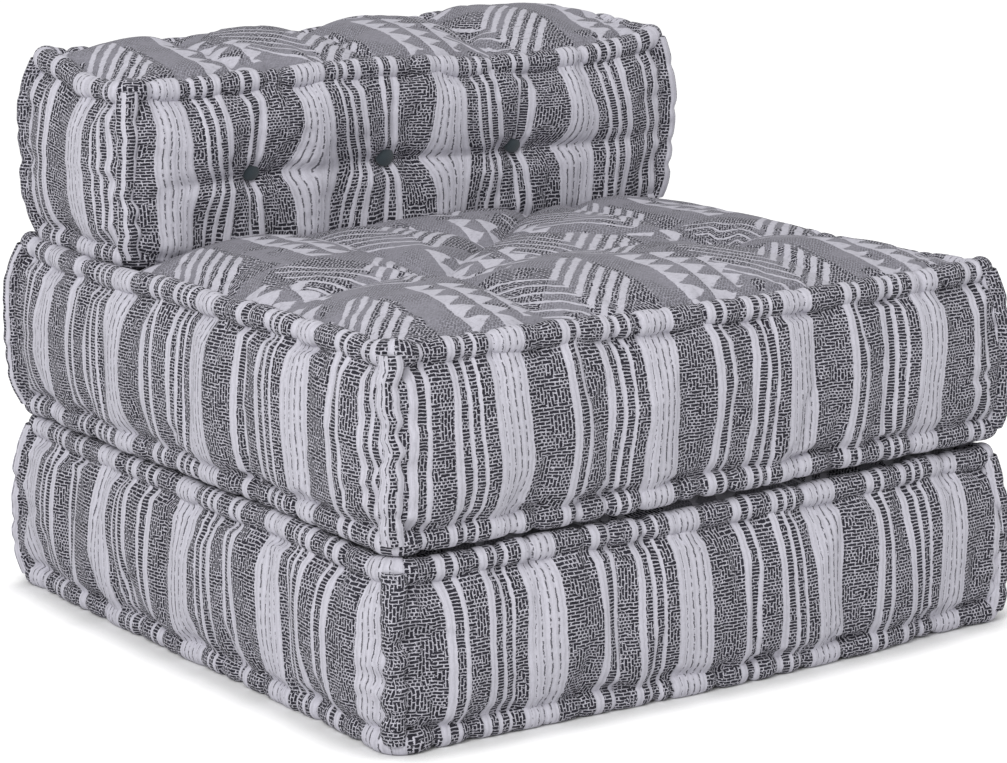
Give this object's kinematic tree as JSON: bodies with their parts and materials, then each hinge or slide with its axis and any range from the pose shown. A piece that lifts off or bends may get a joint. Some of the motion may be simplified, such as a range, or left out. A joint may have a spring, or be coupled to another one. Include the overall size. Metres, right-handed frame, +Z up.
{
  "type": "modular sofa",
  "caption": "Low floor sofa of loose mattress-style cushions: a base, a tufted seat on it and a buttoned back cushion, with stuffed roll edges.",
  "frame": {"origin": "on the floor, under the middle of the base cushion", "axes": "+X along the front to the right as seen from the front, +Y to the rear, +Z up"},
  "size_m": [0.7378, 0.7378, 0.5596],
  "materials": {
    "striped_cloth": "matt woven cotton with dark and pale stripes",
    "striped_roll_cloth": "matt woven cotton with dark and pale stripes, gathered over a stuffed roll",
    "patterned_cloth": "matt woven cotton with a traditional flat-weave pattern",
    "plain_underside_cloth": "matt plain woven cotton",
    "cotton_wadding": "loose cotton wadding",
    "cotton_twine": "waxed cotton twine",
    "button_felt": "matt dark slate wool cloth"
  },
  "bodies": {
    "base_cushion": {"base_bottom_edge_roll": "striped_roll_cloth", "base_bottom_panel": "plain_underside_cloth", "base_corner_rolls": "striped_roll_cloth", "base_front_panel": "striped_cloth", "base_left_panel": "striped_cloth", "base_rear_panel": "striped_cloth", "base_right_panel": "striped_cloth", "base_top_edge_roll": "striped_roll_cloth", "base_top_panel": "patterned_cloth", "base_tuft_twine": "cotton_twine", "base_wadding_core": "cotton_wadding"},
    "seat_cushion": {"seat_bottom_edge_roll": "striped_roll_cloth", "seat_bottom_panel": "plain_underside_cloth", "seat_corner_rolls": "striped_roll_cloth", "seat_front_panel": "striped_cloth", "seat_left_panel": "striped_cloth", "seat_rear_panel": "striped_cloth", "seat_right_panel": "striped_cloth", "seat_top_edge_roll": "striped_roll_cloth", "seat_top_panel": "patterned_cloth", "seat_tuft_twine": "cotton_twine", "seat_wadding_core": "cotton_wadding"},
    "back_cushion": {"back_bottom_edge_roll": "striped_roll_cloth", "back_bottom_panel": "plain_underside_cloth", "back_corner_rolls": "striped_roll_cloth", "back_front_buttons": "button_felt", "back_front_panel": "striped_cloth", "back_left_panel": "striped_cloth", "back_rear_buttons": "button_felt", "back_rear_panel": "striped_cloth", "back_right_panel": "striped_cloth", "back_top_edge_roll": "striped_roll_cloth", "back_top_panel": "patterned_cloth", "back_tuft_twine": "cotton_twine", "back_wadding_core": "cotton_wadding"}
  },
  "joints": [
    {"name": "seat_lift", "type": "slide", "parent": "base_cushion", "child": "seat_cushion", "axis": [0, 0, 1], "range_m": [0, 0.25]},
    {"name": "back_lift", "type": "slide", "parent": "seat_cushion", "child": "back_cushion", "axis": [0, 0, 1], "range_m": [0, 0.25]}
  ]
}
